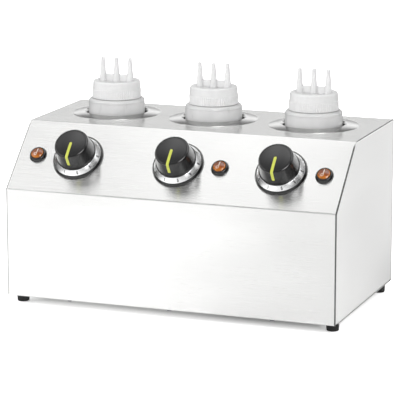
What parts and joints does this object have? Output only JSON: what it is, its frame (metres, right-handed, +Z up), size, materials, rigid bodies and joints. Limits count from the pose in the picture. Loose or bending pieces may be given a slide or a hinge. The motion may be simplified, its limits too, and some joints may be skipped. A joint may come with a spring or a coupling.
{
  "type": "topping warmer",
  "caption": "Countertop sauce warmer with heated wells for squeeze bottles with triple-tip caps, a sloping panel of thermostat knobs and pilot lamps, and a brushed steel housing on rubber feet.",
  "frame": {"origin": "middle of the part's length and depth, on the counter", "axes": "+X to the right along the front, +Y to the back, +Z up"},
  "size_m": [0.42, 0.2542, 0.2866],
  "materials": {
    "brushed_stainless": "brushed along the length",
    "polished_stainless": "polished",
    "zinc_steel": "zinc plated",
    "black_rubber": "matt",
    "black_nylon": "moulded",
    "white_nylon": "moulded",
    "copper": "drawn",
    "brown_phenolic": "moulded",
    "black_gloss": "gloss",
    "black_satin": "satin",
    "silver_dial": "satin anodised",
    "yellow_plastic": "gloss",
    "amber_lens": "clear, gloss",
    "lamp_glass": "clear",
    "milky_polyethylene": "translucent",
    "white_polyethylene": "satin"
  },
  "bodies": {
    "housing": {"housing_wrap": "brushed_stainless", "side_panel_left": "brushed_stainless", "side_panel_right": "brushed_stainless", "base_plate": "brushed_stainless", "foot_front_left": "black_rubber", "foot_front_right": "black_rubber", "foot_rear_left": "black_rubber", "foot_rear_right": "black_rubber", "foot_screws": "zinc_steel", "base_screws": "zinc_steel", "band_screws": "zinc_steel", "thermostat_screws": "zinc_steel", "gland_body": "black_nylon", "gland_dome_nut": "black_nylon", "gland_locknut": "black_nylon", "gland_seal": "black_rubber", "terminal_block": "white_nylon", "well_1": "polished_stainless", "heater_band_1": "brushed_stainless", "sensor_probe_1": "copper", "thermostat_1": "brown_phenolic", "dial_bezel_1": "black_gloss", "dial_face_1": "silver_dial", "lamp_bezel_1": "black_gloss", "lamp_lens_1": "amber_lens", "well_2": "polished_stainless", "heater_band_2": "brushed_stainless", "sensor_probe_2": "copper", "thermostat_2": "brown_phenolic", "dial_bezel_2": "black_gloss", "dial_face_2": "silver_dial", "lamp_bezel_2": "black_gloss", "lamp_lens_2": "amber_lens", "well_3": "polished_stainless", "heater_band_3": "brushed_stainless", "sensor_probe_3": "copper", "thermostat_3": "brown_phenolic", "dial_bezel_3": "black_gloss", "dial_face_3": "silver_dial", "lamp_bezel_3": "black_gloss", "lamp_lens_3": "amber_lens", "lamp_nuts": "black_nylon", "neon_lamps": "lamp_glass"},
    "knob_assembly_1": {"knob_1": "black_satin", "pointer_1": "yellow_plastic", "knob_shaft_1": "zinc_steel"},
    "bottle_body_1": {"bottle_1": "milky_polyethylene"},
    "cap_body_1": {"bottle_cap_1": "white_polyethylene"},
    "knob_assembly_2": {"knob_2": "black_satin", "pointer_2": "yellow_plastic", "knob_shaft_2": "zinc_steel"},
    "bottle_body_2": {"bottle_2": "milky_polyethylene"},
    "cap_body_2": {"bottle_cap_2": "white_polyethylene"},
    "knob_assembly_3": {"knob_3": "black_satin", "pointer_3": "yellow_plastic", "knob_shaft_3": "zinc_steel"},
    "bottle_body_3": {"bottle_3": "milky_polyethylene"},
    "cap_body_3": {"bottle_cap_3": "white_polyethylene"}
  },
  "joints": [
    {"name": "knob_turn_1", "type": "hinge", "parent": "housing", "child": "knob_assembly_1", "pos_m": [-0.13, -0.08965, 0.181], "axis": [0, 0.6925, -0.7214], "range_deg": [0, 342]},
    {"name": "bottle_lift_1", "type": "slide", "parent": "housing", "child": "bottle_body_1", "axis": [0, 0, 1], "range_m": [0, 0.2]},
    {"name": "cap_lift_1", "type": "slide", "parent": "bottle_body_1", "child": "cap_body_1", "axis": [0, 0, 1], "range_m": [0, 0.06]},
    {"name": "knob_turn_2", "type": "hinge", "parent": "housing", "child": "knob_assembly_2", "pos_m": [0, -0.08965, 0.181], "axis": [0, 0.6925, -0.7214], "range_deg": [0, 342]},
    {"name": "bottle_lift_2", "type": "slide", "parent": "housing", "child": "bottle_body_2", "axis": [0, 0, 1], "range_m": [0, 0.2]},
    {"name": "cap_lift_2", "type": "slide", "parent": "bottle_body_2", "child": "cap_body_2", "axis": [0, 0, 1], "range_m": [0, 0.06]},
    {"name": "knob_turn_3", "type": "hinge", "parent": "housing", "child": "knob_assembly_3", "pos_m": [0.13, -0.08965, 0.181], "axis": [0, 0.6925, -0.7214], "range_deg": [0, 342]},
    {"name": "bottle_lift_3", "type": "slide", "parent": "housing", "child": "bottle_body_3", "axis": [0, 0, 1], "range_m": [0, 0.2]},
    {"name": "cap_lift_3", "type": "slide", "parent": "bottle_body_3", "child": "cap_body_3", "axis": [0, 0, 1], "range_m": [0, 0.06]}
  ]
}
